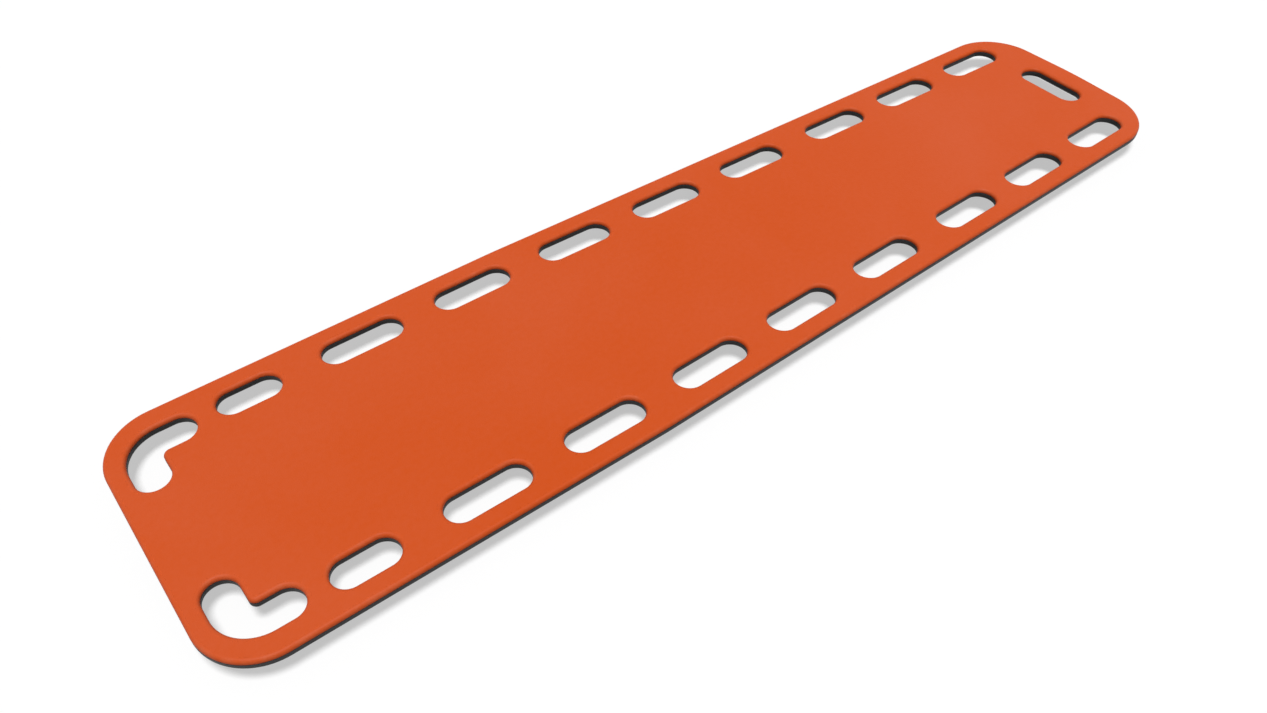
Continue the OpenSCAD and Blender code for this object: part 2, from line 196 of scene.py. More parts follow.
class SpineBoardFinish(bpy.types.PropertyGroup):
    """Colours and surface of the plastics, the foam and the rods."""
    deck_colour: colour("Deck", "Colour of the upper sheet", (0.637, 0.091, 0.018, 1.0))
    deck_scuff: colour("Deck scuffs", "Colour of the upper sheet where it is rubbed", (0.740, 0.300, 0.180, 1.0))
    # The lower sheet's dark grey is painted shade: it makes the walls below the seam, round the rim and round the
    # holds, read as a dark shadow band.
    base_painted_shade_colour: colour("Base", "Colour of the lower sheet", (0.055, 0.056, 0.058, 1.0))
    base_scuff: colour("Base scuffs", "Colour of the lower sheet where it is rubbed", (0.260, 0.260, 0.262, 1.0))
    plug_colour: colour("Plugs", "Colour of the plugs", (0.045, 0.046, 0.048, 1.0))
    foam_colour: colour("Foam", "Colour of the foam", (0.800, 0.730, 0.540, 1.0))
    rod_colour: colour("Rods", "Colour of the stiffening rods", (0.045, 0.048, 0.050, 1.0))
    grain_size: length("Grain size", "Width of the pebbles in the moulded grain", 0.0022)
    grain_depth: length("Grain depth", "Depth of the moulded grain", 0.00018)
    grain_noise: share("Grain unevenness", "How uneven the pebbles of the grain are", 0.35)
    wave_depth: length("Wave depth", "Depth of the slow waves in a moulded face", 0.0010)
    drift: share("Colour drift", "How far a moulded colour drifts from place to place", 0.05)
    roughness: share("Roughness", "Roughness of clean plastic", 0.44)
    haze: share("Haze", "How far the roughness varies from place to place", 0.10)
    shine: share("Shine", "Specular level of the plastics", 0.12)
    wear: share("Wear", "How far handling has dulled the rolled edges", 0.5)
    scuff_tone: share("Scuff tone", "How far rubbed plastic takes its scuff colour", 0.30)
    scuff_haze: share("Scuff haze", "How much rougher rubbed plastic is", 0.18)
    polish: share("Polish", "How far rubbing takes the grain away", 0.8)
    slide_reach: length("Slide reach", "How high above the floor sliding scratches a runner", 0.0015)
    slide_wear: share("Slide wear", "How far sliding has scratched the runners", 0.7)


class SpineBoardStudio(bpy.types.PropertyGroup):
    """Camera, key lamp and floor."""
    camera_place: FloatVectorProperty(name="Camera", description="Place of the camera", precision=5, unit="LENGTH",
                                      default=(-0.902575, -0.959269, 1.179055), subtype="TRANSLATION")
    camera_heading: angle("Heading", "Direction of the camera in plan", 52.2469)
    camera_dip: angle("Dip", "How far the camera looks down", 46.0706)
    camera_roll: angle("Roll", "Turn of the camera about its axis", 0.5263)
    lens: FloatProperty(name="Lens", description="Focal length on a 36 mm sensor", default=30.780, unit="CAMERA")
    key_heading: angle("Key heading", "Where the key lamp shines from, in plan", 233)
    key_height: angle("Key height", "How high the key lamp stands", 79)
    key_power: FloatProperty(name="Key power", description="Strength of the key lamp", default=2.87)
    key_softness: angle("Key softness", "How wide the key lamp looks", 20)
    ambient: share("Ambient", "Strength of the even light all round", 0.12)
    floor_glow: share("Floor glow", "Share of plain white in the floor as the camera sees it", 0.50)
    floor_bounce: share("Floor bounce", "How much light the floor sends back up to the board", 0.25)
    floor_size: length("Floor size", "Half width of the floor", 12.0, high=50.0)
    floor_drop: length("Floor drop", "Gap that keeps the floor clear of the runners", 0.0003)


def linked(name, data):
    """An object of the data, in the scene."""
    made = bpy.data.objects.new(name, data)
    bpy.context.collection.objects.link(made)
    return made


# Paths. A path is a list of corners, each (x, y, radius), going round anticlockwise.

def rounded(corners):
    """Points along a path with its corners rounded."""
    points = []
    for i, (x, y, r) in enumerate(corners):
        here = Vector((x, y))
        came = (here - Vector(corners[i - 1][:2])).normalized()
        goes = (Vector(corners[(i + 1) % len(corners)][:2]) - here).normalized()
        turn = math.atan2(came.x * goes.y - came.y * goes.x, came.dot(goes))
        s = math.copysign(1, turn)
        centre = here - came * r * math.tan(abs(turn) / 2) + Vector((-came.y, came.x)) * r * s
        first = math.atan2(came.y, came.x) - s * math.pi / 2
        n = max(FEWEST_STEPS, round(PATH_STEPS * abs(turn) / math.tau))
        points += [centre + r * Vector((math.cos(first + turn * k / n), math.sin(first + turn * k / n)))
                   for k in range(n + 1)]
    return points


def moved(points, place, heading):
    """Points turned by a heading and carried to a place."""
    c, s = math.cos(heading), math.sin(heading)
    return [Vector((place[0] + p.x * c - p.y * s, place[1] + p.x * s + p.y * c)) for p in points]


def mirrored(points):
    """Points on the other side of the board, in the order that keeps their turning sense."""
    return [Vector((p.x, -p.y)) for p in reversed(points)]


def capsule(long, wide):
    """Outline of a straight hold about its own middle."""
    l, w = long / 2, wide / 2
    return rounded([(-l, -w, w), (l, -w, w), (l, w, w), (-l, w, w)])


class BoardPlan:
    """Places and outlines that every piece is drawn from."""

    def __init__(self):
        scene = bpy.context.scene
        o, h, u = scene.spine_outline, scene.spine_holds, scene.spine_underside
        self.o, self.h, self.u = o, h, u
        self.head, self.foot = -o.board_length / 2, o.board_length / 2
        self.bend = self.head + o.straight_length
        self.slope = math.atan2((o.head_width - o.foot_width) / 2, o.board_length - o.straight_length)
        self.rim_z = o.deck_height - o.rim_thickness
        self.seam_z = o.deck_height - o.roll_radius - o.seam_land - o.seam_groove
        self.hull_z = u.runner_depth
        self.hull_in = h.edge_distance + h.width / 2 + o.roll_radius + u.hull_gap
        self.hull_start = self.head + h.bent_end + h.bent_length + o.roll_radius + u.hull_gap
        self.hull_end = self.foot - h.foot_distance - h.foot_hold_width / 2 - o.roll_radius - u.hull_gap

    def half_width(self, x):
        """Half of the board's width at a distance along it."""
        return self.o.head_width / 2 - max(0.0, x - self.bend) * math.tan(self.slope)

    def board(self):
        """Corners of the board's outline."""
        o = self.o
        bow = math.atan2(o.foot_bow, o.foot_width / 2)
        crown = self.foot + o.crown_radius * (1 / math.cos(bow) - 1)
        corner = crown - o.foot_width / 2 * math.tan(bow)
        w, f = o.head_width / 2, self.half_width(corner)
        return [(self.head, -w, o.head_radius), (self.bend, -w, o.side_radius), (corner, -f, o.foot_radius),
                (crown, 0.0, o.crown_radius), (corner, f, o.foot_radius), (self.bend, w, o.side_radius),
                (self.head, w, o.head_radius)]

    def hull(self):
        """Corners of the hull's outline at the underside of the rim."""
        a, b, r = self.hull_start, self.hull_end, self.u.hull_radius
        w, f = self.o.head_width / 2 - self.hull_in, self.half_width(b) - self.hull_in
        return [(a, -w, r), (self.bend, -w, self.o.side_radius), (b, -f, r), (b, f, r),
                (self.bend, w, self.o.side_radius), (a, w, r)]

    def hold_places(self):
        """Middle, heading and length of each side hold on the left side."""
        h = self.h
        pitch = (self.o.board_length - h.first_place - h.last_place) / (h.count - 1)
        for i in range(h.count):
            x = self.head + h.first_place + i * pitch + HOLD_SHIFTS[i]
            slope = self.slope if x > self.bend else 0.0
            y = self.half_width(x) - h.edge_distance / math.cos(slope)
            yield (x, y), -slope, h.first_length if i == 0 else h.hold_length

    def edges(self):
        """Every closed path with a rolled edge, with the plastic on its left."""
        h = self.h
        left = [moved(capsule(long, h.width), place, heading) for place, heading, long in self.hold_places()]
        notch = self.o.roll_radius + h.notch_radius
        w, l = h.bent_width, h.bent_length
        bent = rounded([(0, 0, w + notch), (0, -l, w / 2), (w, -l, w / 2), (w, -w, notch), (l, -w, w / 2),
                        (l, 0, w / 2)])
        left.append(moved(bent, (self.head + h.bent_end, self.o.head_width / 2 - h.bent_side), 0.0))
        foot = moved(capsule(h.foot_length, h.foot_hold_width), (self.foot - h.foot_distance, 0), math.pi / 2)
        holds = left + [mirrored(p) for p in left] + [foot]
        return [rounded(self.board())] + [list(reversed(p)) for p in holds]

    def fill_places(self):
        """Places of the two fill plugs."""
        return [(self.hull_start + self.u.fill_end, 0.0), (self.hull_end - self.u.fill_end, 0.0)]

    def vent_places(self):
        """Places of the four vent plugs."""
        xs = (self.hull_start + self.u.vent_end, self.hull_end - self.u.vent_end)
        return [(x, side * self.u.vent_side) for x in xs for side in (1, -1)]


def path_object(name, paths):
    """A curve object of closed paths in the plane, for a tree to sweep along."""
    curve = bpy.data.curves.new(name, "CURVE")
    curve.dimensions = "3D"
    curve.twist_mode = "Z_UP"
    for path in paths:
        spline = curve.splines.new("POLY")
        spline.points.add(len(path) - 1)
        for place, p in zip(spline.points, path):
            place.co = (p.x, p.y, 0.0, 1.0)
        spline.use_cyclic_u = True
    return linked(name, curve)


def place_object(name, places, height):
    """A mesh of loose points, for a tree to put copies on."""
    mesh = bpy.data.meshes.new(name)
    mesh.from_pydata([(x, y, height) for x, y in places], [], [])
    return linked(name, mesh)


# Node trees

class Value:
    """An output of a node or an input of a tree, to reckon with."""

    def __init__(self, socket):
        self.socket, self.tree = socket, socket.id_data


for sign, operation in (("add", "ADD"), ("sub", "SUBTRACT"), ("mul", "MULTIPLY"), ("truediv", "DIVIDE")):
    setattr(Value, f"__{sign}__", lambda a, b, how=operation: calc(how, a, b))
    setattr(Value, f"__r{sign}__", lambda a, b, how=operation: calc(how, b, a))


def new_tree(name, kind, inputs, output, output_kind=GEOMETRY):
    """A node tree with one output, and inputs given by their default number or their kind of socket."""
    tree = bpy.data.node_groups.new(name, kind)
    for label, value in inputs.items():
        number = "NodeSocketInt" if isinstance(value, int) else NUMBER
        socket = value if isinstance(value, str) else number
        made = tree.interface.new_socket(name=label, in_out="INPUT", socket_type=socket)
        if socket is not value:
            made.default_value = value
    tree.interface.new_socket(name=output, in_out="OUTPUT", socket_type=output_kind)
    given = {socket.name: Value(socket) for socket in tree.nodes.new("NodeGroupInput").outputs}
    return tree, given, tree.nodes.new("NodeGroupOutput")


def picked(given, names):
    """Some of a tree's inputs, to pass on under the same names."""
    return {name: given[name] for name in names}


def feed(node, inputs):
    """Feeds a node's inputs by plain values or by other nodes' outputs."""
    for key, value in inputs.items():
        for one in value if isinstance(value, list) else [value]:
            if isinstance(one, Value):
                node.id_data.links.new(one.socket, node.inputs[key])
            else:
                node.inputs[key].default_value = one


def add(tree, kind, inputs=None, out=0, **settings):
    """One output of a new node with its inputs and its settings."""
    node = tree.nodes.new(kind)
    for key, value in settings.items():
        setattr(node, key, value)
    feed(node, inputs or {})
    return Value(node.outputs[out]) if node.outputs else None


def tree_of(inputs):
    """The tree that the first Value among the inputs belongs to."""
    return next(value.tree for value in inputs if isinstance(value, Value))


def grouped(name, inputs):
    """The output of a node group placed in a tree."""
    tree = tree_of(inputs.values())
    kind = "GeometryNodeGroup" if tree.bl_idname == SHAPES else "ShaderNodeGroup"
    return add(tree, kind, inputs, node_tree=bpy.data.node_groups[name])


def calc(operation, *values):
    """The result of a Math node."""
    return add(tree_of(values), "ShaderNodeMath", dict(enumerate(values)), operation=operation)


def mixed(factor, a, b):
    """One colour turning into another as the factor goes from 0 to 1."""
    return add(factor.tree, "ShaderNodeMix", {0: factor, 6: a, 7: b}, 2, data_type="RGBA")


def point(tree, x, y, z=0.0):
    """A vector from its three parts."""
    return add(tree, "ShaderNodeCombineXYZ", {"X": x, "Y": y, "Z": z})


def part(vector, axis):
    """One part of a vector."""
    return add(vector.tree, "ShaderNodeSeparateXYZ", {0: vector}, axis)


def shifted(shape, *place):
    """A shape carried to a place."""
    return add(shape.tree, "GeometryNodeTransform", {"Geometry": shape, "Translation": point(shape.tree, *place)})


def joined(*shapes):
    """Several meshes or curves as one."""
    return add(shapes[0].tree, "GeometryNodeJoinGeometry", {0: list(shapes)})


def merged(mesh):
    """A mesh with its touching strips joined."""
    return add(mesh.tree, "GeometryNodeMergeByDistance", {"Geometry": mesh, "Distance": MERGE_GAP})


def flipped(mesh):
    """A mesh with its faces turned round."""
    return add(mesh.tree, "GeometryNodeFlipFaces", {0: mesh})


def upright(curve):
    """A curve with its cross-sections kept upright all along."""
    return add(curve.tree, "GeometryNodeSetCurveNormal", {"Curve": curve}, mode="Z_UP")


def shape_of(socket):
    """The geometry of an object input."""
    return add(socket.tree, "GeometryNodeObjectInfo", {"Object": socket}, "Geometry", transform_space="ORIGINAL")


def line(tree, a, b):
    """A straight line between two points, such as a piece of a cross-section (inwards, height)."""
    return add(tree, "GeometryNodeCurvePrimitiveLine", {"Start": point(tree, *a), "End": point(tree, *b)})


def lines(tree, *corners):
    """Straight pieces of a cross-section from corner to corner."""
    return [line(tree, a, b) for a, b in zip(corners, corners[1:])]


def arc(tree, centre, radius, start, turn, points):
    """A round piece of a cross-section, marked along its middle for the wear on the edge."""
    bend = add(tree, "GeometryNodeCurveArc", {"Resolution": points, "Radius": radius, "Start Angle": start,
                                              "Sweep Angle": turn}, "Curve")
    crest = calc("SINE", add(tree, "GeometryNodeSplineParameter", out="Factor") * math.pi)
    marked = add(tree, "GeometryNodeStoreNamedAttribute", {"Geometry": bend, "Name": "edge", "Value": crest},
                 data_type="FLOAT", domain="POINT")
    return shifted(marked, *centre)


def sweep(paths, pieces):
    """A skin swept along paths: cross-sections are (inwards, height), inwards being left of the path."""
    tree = paths.tree
    turned = add(tree, "GeometryNodeTransform", {"Geometry": joined(*pieces), "Rotation": (0, 0, math.pi)})
    return merged(add(tree, "GeometryNodeCurveToMesh", {"Curve": paths, "Profile Curve": turned}))


def level_face_tree():
    """A flat face at one height between all the open edges that lie at that height."""
    tree, g, out = new_tree("Level Face", SHAPES, {"Mesh": GEOMETRY, "Height": 0.0, "More Rings": GEOMETRY},
                            "Mesh")
    height = part(add(tree, "GeometryNodeInputPosition"), "Z")
    near = calc("COMPARE", height, g["Height"], LEVEL_GAP)
    faces = add(tree, "GeometryNodeInputMeshEdgeNeighbors", out="Face Count")
    rim = near * calc("COMPARE", faces, 1.0, 0.1)
    rings = add(tree, "GeometryNodeMeshToCurve", {"Mesh": g["Mesh"], "Selection": rim})
    flat = add(tree, "GeometryNodeFillCurve", {"Curve": joined(rings, g["More Rings"])}, mode="TRIANGLES")
    feed(out, {"Mesh": shifted(flat, 0.0, 0.0, g["Height"])})


def level_face(mesh, height, more=None):
    """The Level Face group between a mesh's open edges at a height, and more rings if any."""
    rings = {"More Rings": more} if more else {}
    return grouped("Level Face", {"Mesh": mesh, "Height": height, **rings})


def rolled_edge_tree():
    """The wall of one sheet along each path, from the inner face round the seam to the outer face."""
    tree, g, out = new_tree("Rolled Edge", SHAPES, {"Paths": GEOMETRY, **EDGE_SOCKETS, "Side": 1.0,
                                                    "Flat Margin": FLAT_MARGIN}, "Mesh")
    face, seam, side, roll = g["Face Height"], g["Seam Height"], g["Side"], g["Roll Radius"]
    groove, wall = g["Seam Groove"], g["Wall"]
    inner, start, flat = face - side * g["Sheet"], face - side * roll, roll + g["Flat Margin"]
    pieces = [*lines(tree, (flat, inner), (wall, inner), (wall, seam), (groove, seam),
                     (0.0, seam + side * groove), (0.0, start)),
              arc(tree, (roll, start), roll, math.pi, side * (-math.pi / 2), g["Roll Points"]),
              line(tree, (roll, face), (flat, face))]
    feed(out, {"Mesh": sweep(g["Paths"], pieces)})


def underbody_tree():
    """One surface of the hull and its runners: the outside, or the inside a sheet's thickness further in."""
    tree, g, out = new_tree("Underbody", SHAPES, {
        "Hull Path": GEOMETRY, "Plug Paths": GEOMETRY, **UNDER_SOCKETS, "Top Height": 0.027, "Rim Height": 0.027,
        "Hull Face": 0.009, "Runner Face": 0.0, "Inset": 0.0, "Rise Lift": 0.0, "Flat Margin": FLAT_MARGIN,
        "Roll Points": 7}, "Mesh")
    roll, slope, face = g["Edge Roll"], g["Slope"], g["Hull Face"]
    cosine, sine, tangent = [calc(f, slope) for f in ("COSINE", "SINE", "TANGENT")]
    span, first = math.pi / 2 - slope, math.pi + slope

    def side_wall(top, bottom, start):
        """Middle of the roll along the bottom of a sloping wall, and the point where the wall meets the roll."""
        drop = top - bottom - roll + roll * sine
        middle = start + (roll * cosine + drop * tangent)
        return middle, bottom + roll, middle - roll * cosine, bottom + roll - roll * sine

    top, inset = g["Rim Height"], g["Inset"]
    middle, lift, foot, height = side_wall(top, face, inset)
    hull = sweep(g["Hull Path"], [
        *lines(tree, (inset, g["Top Height"]), (inset, top), (foot, height)),
        arc(tree, (middle, lift), roll, first, span, g["Roll Points"]),
        line(tree, (middle, face), (middle + g["Flat Margin"], face))])

    top, bottom, half = g["Hull Height"], g["Runner Face"], g["Runner Half Width"]
    edge = half * -1.0
    middle, lift, foot, height = side_wall(top, bottom, edge)
    far, far_foot = middle * -1.0, foot * -1.0
    pieces = [*lines(tree, (edge, face), (edge, top), (foot, height)),
              arc(tree, (middle, lift), roll, first, span, g["Roll Points"]),
              line(tree, (middle, bottom), (far, bottom)),
              arc(tree, (far, lift), roll, -math.pi / 2, span, g["Roll Points"]),
              *lines(tree, (far_foot, height), (half, top), (half, face))]
    start, end = g["Runner Start"], g["Runner End"]
    rows = [g["Runner Place"] * sign for sign in (1.0, -1.0)]
    tracks = joined(*[line(tree, (start, row), (end, row)) for row in rows])
    track = add(tree, "GeometryNodeResampleCurve", {"Curve": tracks, "Count": g["Runner Steps"]})
    runners = sweep(upright(track), pieces)
    where = add(tree, "GeometryNodeInputPosition")
    x, y, z = [part(where, axis) for axis in "XYZ"]
    ahead = calc("MINIMUM", x - start, end - x)
    rise = top + g["Rise Lift"] - ahead * (top / g["Runner Rise"])
    up = calc("MINIMUM", face, calc("SMOOTH_MAX", z, rise, g["Rise Blend"]))
    runners = add(tree, "GeometryNodeSetPosition", {"Geometry": runners, "Position": point(tree, x, y, up)})

    shell = joined(hull, runners)
    level = level_face(shell, face, g["Plug Paths"])
    feed(out, {"Mesh": joined(shell, flipped(level))})


def finished(mesh, material):
    """Merges the strips, keeps folded edges crisp and sets the material."""
    tree = mesh.tree
    fold = add(tree, "GeometryNodeInputMeshEdgeAngle", out="Unsigned Angle")
    crisp = calc("GREATER_THAN", fold, CRISP_ANGLE)
    smooth = add(tree, "GeometryNodeSetShadeSmooth", {0: merged(mesh), "Shade Smooth": True}, domain="FACE")
    edged = add(tree, "GeometryNodeSetShadeSmooth", {0: smooth, "Selection": crisp, "Shade Smooth": False},
                domain="EDGE")
    real = add(tree, "GeometryNodeRealizeInstances", {0: edged})
    return add(tree, "GeometryNodeSetMaterial", {"Geometry": real, "Material": material})


def upper_sheet_tree():
    """The upper sheet: rolled edges along every path and the deck between them."""
    tree, g, out = new_tree("Upper Sheet", SHAPES, {"Geometry": GEOMETRY, "Edge Paths": OBJECT, **EDGE_SOCKETS,
                                                    "Material": MATERIAL}, "Geometry")
    paths = upright(shape_of(g["Edge Paths"]))
    edges = grouped("Rolled Edge", {"Paths": paths, "Side": 1.0, **picked(g, EDGE_SOCKETS)})
    deck = level_face(edges, g["Face Height"])
    under = level_face(edges, g["Face Height"] - g["Sheet"])
    shell = joined(flipped(edges), deck, flipped(under))
    feed(out, {"Geometry": finished(shell, g["Material"])})
    return tree


def lower_sheet_tree():
    """The lower sheet: rolled edges, the underside of the rim, hull, runners and plug holes."""
    tree, g, out = new_tree("Lower Sheet", SHAPES, {
        "Geometry": GEOMETRY, "Edge Paths": OBJECT, "Hull Path": OBJECT, "Plug Paths": OBJECT, **EDGE_SOCKETS,
        **UNDER_SOCKETS, "Material": MATERIAL}, "Geometry")
    rim, hull_face, sheet = g["Face Height"], g["Hull Height"], g["Sheet"]
    rim_top, hull_top = rim + sheet, hull_face + sheet
    paths, hull, plugs = [upright(shape_of(g[name])) for name in ("Edge Paths", "Hull Path", "Plug Paths")]
    edges = grouped("Rolled Edge", {"Paths": paths, "Side": -1.0, **picked(g, EDGE_SOCKETS)})
    body = {"Hull Path": hull, "Plug Paths": plugs, "Rim Height": rim, **picked(g, UNDER_SOCKETS)}
    outer = grouped("Underbody", {**body, "Top Height": rim, "Hull Face": hull_face})
    inset = sheet / calc("COSINE", g["Slope"])
    incline = calc("ARCTAN2", hull_face, g["Runner Rise"])
    inner = grouped("Underbody", {**body, "Top Height": rim_top, "Hull Face": hull_top, "Runner Face": sheet,
                                        "Inset": inset, "Edge Roll": g["Edge Roll"] - sheet,
                                        "Runner Half Width": g["Runner Half Width"] - inset,
                                        "Rise Lift": sheet / calc("COSINE", incline)})
    holes = sweep(plugs, lines(tree, (0.0, hull_top), (0.0, hull_face)))
    under = level_face(joined(edges, outer), rim)
    top = level_face(joined(edges, inner), rim_top)
    shell = joined(edges, outer, flipped(inner), flipped(under), top, holes)
    feed(out, {"Geometry": finished(shell, g["Material"])})
    return tree


def plug_tree():
    """Push-in plugs: one turned plug, placed on every point of an object."""
    tree, g, out = new_tree("Push Plugs", SHAPES, {
        "Geometry": GEOMETRY, "Places": OBJECT, "Stem Radius": 0.011, "Flange": 0.005, "Flange Depth": 0.002,
        "Edge Round": 0.0014, "Stem Length": 0.0065, "Dish": FILL_DISH, "Turn Steps": PLUG_POINTS,
        "Round Points": ROUND_POINTS, "Material": MATERIAL}, "Geometry")
    stem, flange, bend, dish = g["Stem Radius"], g["Flange"], g["Edge Round"], g["Dish"]
    rim, low = stem + flange, g["Flange Depth"] * -1.0
    hollow, corner, well = low + dish, low + bend, rim - stem * PLUG_RING
    pieces = [*lines(tree, (rim, hollow), (well, hollow), (well - dish, low), (bend, low)),
              arc(tree, (bend, corner), bend, -math.pi / 2, -math.pi / 2, g["Round Points"]),
              *lines(tree, (0.0, corner), (0.0, 0.0), (flange, 0.0), (flange, g["Stem Length"]),
                     (rim, g["Stem Length"]))]
    circle = add(tree, "GeometryNodeCurvePrimitiveCircle", {"Resolution": g["Turn Steps"], "Radius": rim})
    plug = flipped(sweep(upright(circle), pieces))
    spots = shape_of(g["Places"])
    copies = add(tree, "GeometryNodeInstanceOnPoints", {"Points": spots, "Instance": plug})
    real = add(tree, "GeometryNodeRealizeInstances", {0: copies})
    feed(out, {"Geometry": finished(real, g["Material"])})
    return tree


def made_by(name, tree, values, slot, *nodes):
    """A plain mesh piece from a tree, which stands for CAD nodes. The objects that the tree reads are removed."""
    host = linked(name + "_host", bpy.data.meshes.new(name + "_host"))
    modifier = host.modifiers.new("Made", "NODES")
    modifier.node_group = tree
    sockets = {s.name: s.identifier for s in tree.interface.items_tree if s.in_out == "INPUT"}
    for key, value in values.items():
        modifier[sockets[key]] = value
    bpy.context.view_layer.update()
    depsgraph = bpy.context.evaluated_depsgraph_get()
    mesh = bpy.data.meshes.new_from_object(host.evaluated_get(depsgraph))
    if not mesh.polygons:
        raise RuntimeError(f"{name}: the tree made no faces")
    mesh.name = name
    piece = linked(name, mesh)
    for helper in (host, *values.values()):
        if isinstance(helper, bpy.types.Object):
            bpy.data.objects.remove(helper)
    outward(piece)
    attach(piece, BODY)
    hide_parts(*nodes)


def outward(piece):
    """Turns a mesh's faces outwards where the whole of it is inside out, and says whether it is closed."""
    work = bmesh.new()
    work.from_mesh(piece.data)
    unclosed = sum(len(e.link_faces) != 2 for e in work.edges)
    uneven = sum(len(e.link_faces) == 2 and not e.is_contiguous for e in work.edges)
    print(f"{piece.name}: {len(work.faces)} faces, open edges {unclosed}, uneven {uneven}")
    if work.calc_volume(signed=True) < 0:
        bmesh.ops.reverse_faces(work, faces=work.faces)
        work.to_mesh(piece.data)
    work.free()


# Materials

def new_material(name):
    """A material, its Principled BSDF and the object's own coordinates."""
    material = bpy.data.materials.new(name)
    material.use_nodes = True
    tree = material.node_tree
    return material, tree.nodes["Principled BSDF"], add(tree, "ShaderNodeTexCoord", out="Object")


def grey(level):
    """A linear grey."""
    return level, level, level, 1.0


def noise(where, scale, detail, roughness=0.5, distortion=0.0):
    """The level of a cloudy noise, about 0.5."""
    return add(where.tree, "ShaderNodeTexNoise", {"Vector": where, "Scale": scale, "Detail": detail,
                                                  "Roughness": roughness, "Distortion": distortion}, "Fac")


def streaks(where, along, across, detail, roughness=0.5):
    """The level of a noise drawn out along X."""
    stretch = add(where.tree, "ShaderNodeMapping", {"Vector": where, "Scale": (along, across, across)})
    return noise(stretch, 1.0, detail, roughness)


def ramp(value, low, high):
    """A share that goes from 0 to 1 as a value goes from low to high."""
    return add(value.tree, "ShaderNodeMapRange", {"Value": value, "From Min": low, "From Max": high})


def toned(colour_in, value, **more):
    """A colour made brighter or darker."""
    return add(value.tree, "ShaderNodeHueSaturation", {"Color": colour_in, "Value": value, **more})


def bumped(height, depth, **more):
    """The normal of a surface with bumps."""
    return add(height.tree, "ShaderNodeBump", {"Height": height, "Distance": depth, "Strength": 1.0, **more})


def new_pattern(name, inputs, output, output_kind=NUMBER):
    """The inputs and the output node of a new shader tree that works on coordinates."""
    _, given, out = new_tree(name, SHADERS, {"Vector": VECTOR, **inputs}, output, output_kind)
    return given, out


def grain_group():
    """Moulded pebble grain: the height of the surface."""
    g, out = new_pattern("Pebble Grain", {"Size": 0.002, "Unevenness": 0.35}, "Height")
    where, scale = g["Vector"], 1.0 / g["Size"]
    pebbles = add(where.tree, "ShaderNodeTexVoronoi", {
        "Vector": where, "Scale": scale, "Randomness": 0.9, "Smoothness": 0.7}, "Distance", feature="SMOOTH_F1")
    fine = noise(where, scale * 1.7, detail=3.0, roughness=0.6)
    feed(out, {"Height": (1.0 - pebbles) + fine * g["Unevenness"]})


def drift_group():
    """Slow drift of a moulded colour from place to place, with a little speckle."""
    g, out = new_pattern("Colour Drift", {"Colour": COLOUR, "Amount": 0.05, "Size": 0.3}, "Colour", COLOUR)
    where, scale = g["Vector"], 1.0 / g["Size"]
    cloud = noise(where, scale, detail=4.0, roughness=0.55, distortion=0.4)
    speck = noise(where, scale * 40.0, detail=2.0)
    level = 1.0 + ((cloud - 0.5) + (speck - 0.5) * 0.35) * g["Amount"]
    feed(out, {"Colour": toned(g["Colour"], level, Saturation=2.0 - level)})


def scuff_group():
    """Where handling has rubbed the rolled edges, in broken patches."""
    g, out = new_pattern("Handling Scuffs", {"Edge": 0.0, "Amount": 0.5, "Size": 0.03}, "Mask")
    worn = ramp(noise(g["Vector"], 1.0 / g["Size"], detail=8.0, roughness=0.75), low=0.48, high=0.66)
    feed(out, {"Mask": worn * g["Edge"] * g["Amount"]})


def slide_group():
    """Long scratches from sliding on the runners, only near the floor."""
    g, out = new_pattern("Slide Scratches", {"Reach": 0.002, "Amount": 0.6}, "Mask")
    streak = ramp(streaks(g["Vector"], along=6.0, across=900.0, detail=5.0, roughness=0.6), low=0.52, high=0.64)
    near = ramp(part(g["Vector"], "Z"), low=g["Reach"], high=0.0)
    feed(out, {"Mask": streak * near * g["Amount"]})


def moulded_plastic(name, base, rubbed_colour, sliding=False):
    """Moulded polyethylene: grain, slow colour drift, rubbed edges and, underneath, slide scratches."""
    f = bpy.context.scene.spine_finish
    material, shader, where = new_material(name)
    drift = grouped("Colour Drift", {"Vector": where, "Colour": tuple(base), "Amount": f.drift, "Size": 0.35})
    edge = add(where.tree, "ShaderNodeAttribute", out="Fac", attribute_name="edge")
    scuff = grouped("Handling Scuffs", {"Vector": where, "Edge": edge, "Amount": f.wear, "Size": 0.03})
    if sliding:
        slide = grouped("Slide Scratches", {"Vector": where, "Reach": f.slide_reach, "Amount": f.slide_wear})
        scuff = calc("MAXIMUM", scuff, slide)
    grain = grouped("Pebble Grain", {"Vector": where, "Size": f.grain_size, "Unevenness": f.grain_noise})
    waves = bumped(noise(where, scale=14.0, detail=1.0), f.wave_depth, Strength=0.5)
    feed(shader, {
        "Base Color": mixed(scuff * f.scuff_tone, drift, tuple(rubbed_colour)),
        "Roughness": f.roughness + noise(where, scale=9.0, detail=5.0) * f.haze + scuff * f.scuff_haze,
        "Specular IOR Level": f.shine,
        "Normal": bumped(grain * (1.0 - scuff * f.polish), f.grain_depth, Normal=waves)})
    return material


def foam_material():
    """Closed-cell foam: fine cells and a powdery, uneven colour."""
    material, shader, where = new_material("rigid_foam")
    base = tuple(bpy.context.scene.spine_finish.foam_colour)
    cells = grouped("Pebble Grain", {"Vector": where, "Size": 0.0012, "Unevenness": 0.8})
    feed(shader, {
        "Base Color": grouped("Colour Drift", {"Vector": where, "Colour": base, "Amount": 0.25, "Size": 0.06}),
        "Roughness": 0.85 + cells * 0.1, "Normal": bumped(cells, depth=0.0003)})
    return material


